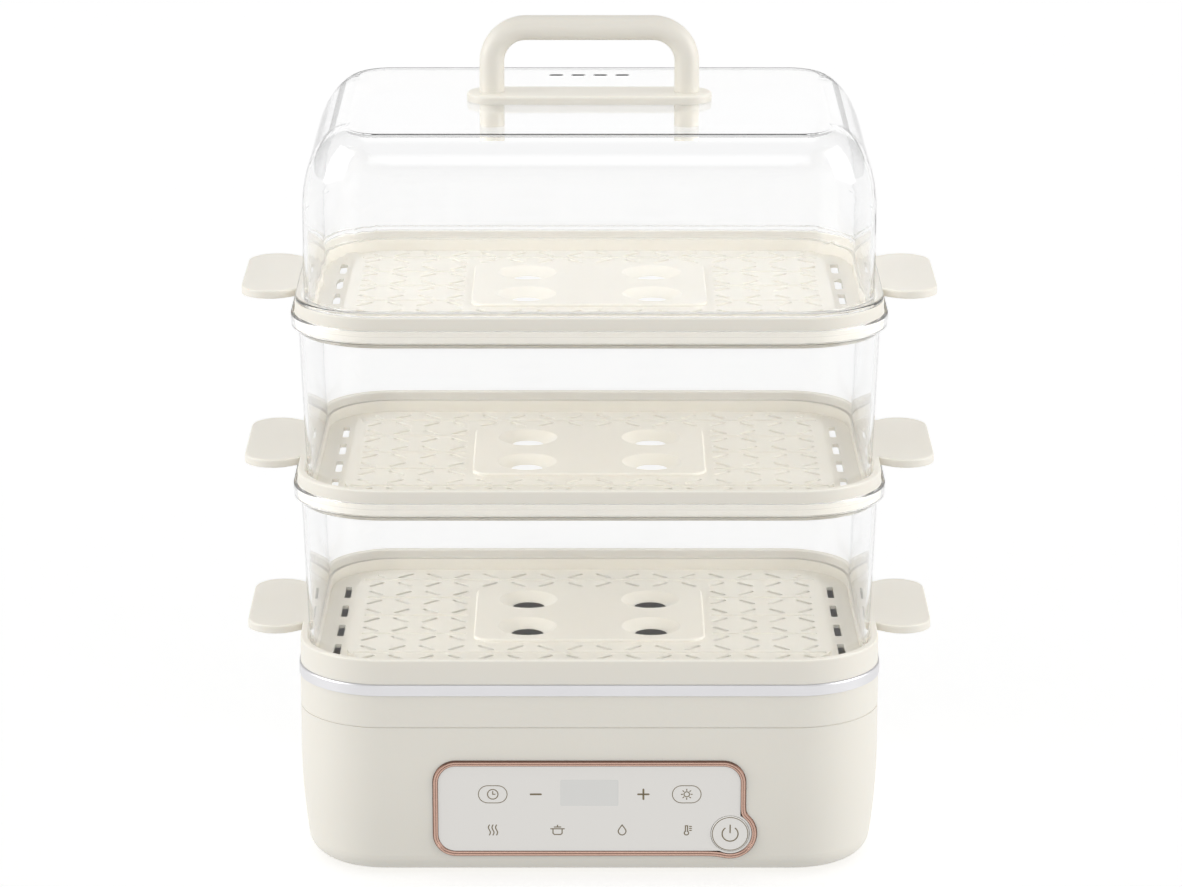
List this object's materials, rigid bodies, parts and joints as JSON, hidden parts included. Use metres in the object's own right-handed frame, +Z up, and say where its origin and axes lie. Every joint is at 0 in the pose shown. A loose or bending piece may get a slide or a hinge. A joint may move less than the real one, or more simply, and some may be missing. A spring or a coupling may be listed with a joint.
{
  "type": "egg cooker",
  "caption": "Rectangular electric egg cooker and food steamer: cream base with control panel, stacked slotted trays with egg cups, clear walls and a domed clear lid with a carrying handle.",
  "frame": {"origin": "bottom centre of the whole cooker, on the table under its feet", "axes": "+Z up through the stack, +X to the cooker's right along its long side, front with the control panel towards -Y"},
  "size_m": [0.3584, 0.2044, 0.434],
  "materials": {
    "cream_plastic": "satin moulded polypropylene",
    "clear_plastic": "clear polished",
    "grey_rubber": "matte",
    "steel_screw": "plated",
    "pan_steel": "satin",
    "seal_silicone": "matte translucent",
    "cast_spreader": "as cast",
    "element_sheath": "dull",
    "bracket_steel": "pressed",
    "dark_moulding": "moulded",
    "fuse_metal": "satin",
    "board_green": "coated laminate",
    "component_yellow": "gloss",
    "white_moulding": "moulded",
    "lead_insulation": "satin",
    "ribbon_grey": "satin",
    "rose_gold": "satin plated",
    "panel_gloss": "smooth",
    "window_tint": "smooth tinted",
    "spring_steel": "bright",
    "contact_brass": "plated"
  },
  "bodies": {
    "base": {"base_shell": "cream_plastic", "bottom_cover": "cream_plastic", "rubber_feet": "grey_rubber", "cover_screws": "steel_screw", "upper_trim_ring": "cream_plastic", "water_pan": "pan_steel", "pan_seal": "seal_silicone", "heat_spreader": "cast_spreader", "heating_element": "element_sheath", "temperature_sensor": "cast_spreader", "sensor_bridge": "bracket_steel", "thermostat": "dark_moulding", "thermal_fuse": "fuse_metal", "power_board": "board_green", "relay": "dark_moulding", "film_capacitor": "component_yellow", "smoothing_capacitor": "dark_moulding", "transformer_core": "dark_moulding", "terminal_block": "white_moulding", "mains_leads": "lead_insulation", "heater_leads": "lead_insulation", "panel_ribbon": "ribbon_grey", "panel_bezel": "rose_gold", "panel_face": "panel_gloss", "display_window": "window_tint", "panel_frame": "white_moulding", "control_board": "board_green", "display_module": "dark_moulding", "touch_springs": "spring_steel", "power_switch": "dark_moulding", "inlet_socket": "dark_moulding", "inlet_pins": "contact_brass"},
    "power_button": {"power_button": "panel_gloss"},
    "tray_1": {"tray_1": "cream_plastic"},
    "clear_wall_1": {"clear_wall_1": "clear_plastic"},
    "tray_2": {"tray_2": "cream_plastic"},
    "clear_wall_2": {"clear_wall_2": "clear_plastic"},
    "tray_3": {"tray_3": "cream_plastic"},
    "lid": {"lid_shell": "clear_plastic", "handle_grip": "cream_plastic", "handle_plate": "cream_plastic", "handle_boss_left": "cream_plastic", "handle_boss_right": "cream_plastic", "boss_seals": "seal_silicone", "handle_screws": "steel_screw"}
  },
  "joints": [
    {"name": "power_press", "type": "slide", "parent": "base", "child": "power_button", "axis": [0, 0.998, 0.0628], "range_m": [0, 0.0008], "stiffness_N_per_m": 900, "springref_m": -0.0006},
    {"name": "tray_1_lift", "type": "slide", "parent": "base", "child": "tray_1", "axis": [0, 0, 1], "range_m": [0, 0.04]},
    {"name": "clear_wall_1_lift", "type": "slide", "parent": "tray_1", "child": "clear_wall_1", "axis": [0, 0, 1], "range_m": [0, 0.05]},
    {"name": "tray_2_lift", "type": "slide", "parent": "clear_wall_1", "child": "tray_2", "axis": [0, 0, 1], "range_m": [0, 0.04]},
    {"name": "clear_wall_2_lift", "type": "slide", "parent": "tray_2", "child": "clear_wall_2", "axis": [0, 0, 1], "range_m": [0, 0.05]},
    {"name": "tray_3_lift", "type": "slide", "parent": "clear_wall_2", "child": "tray_3", "axis": [0, 0, 1], "range_m": [0, 0.04]},
    {"name": "lid_lift", "type": "slide", "parent": "tray_3", "child": "lid", "axis": [0, 0, 1], "range_m": [0, 0.12]}
  ]
}
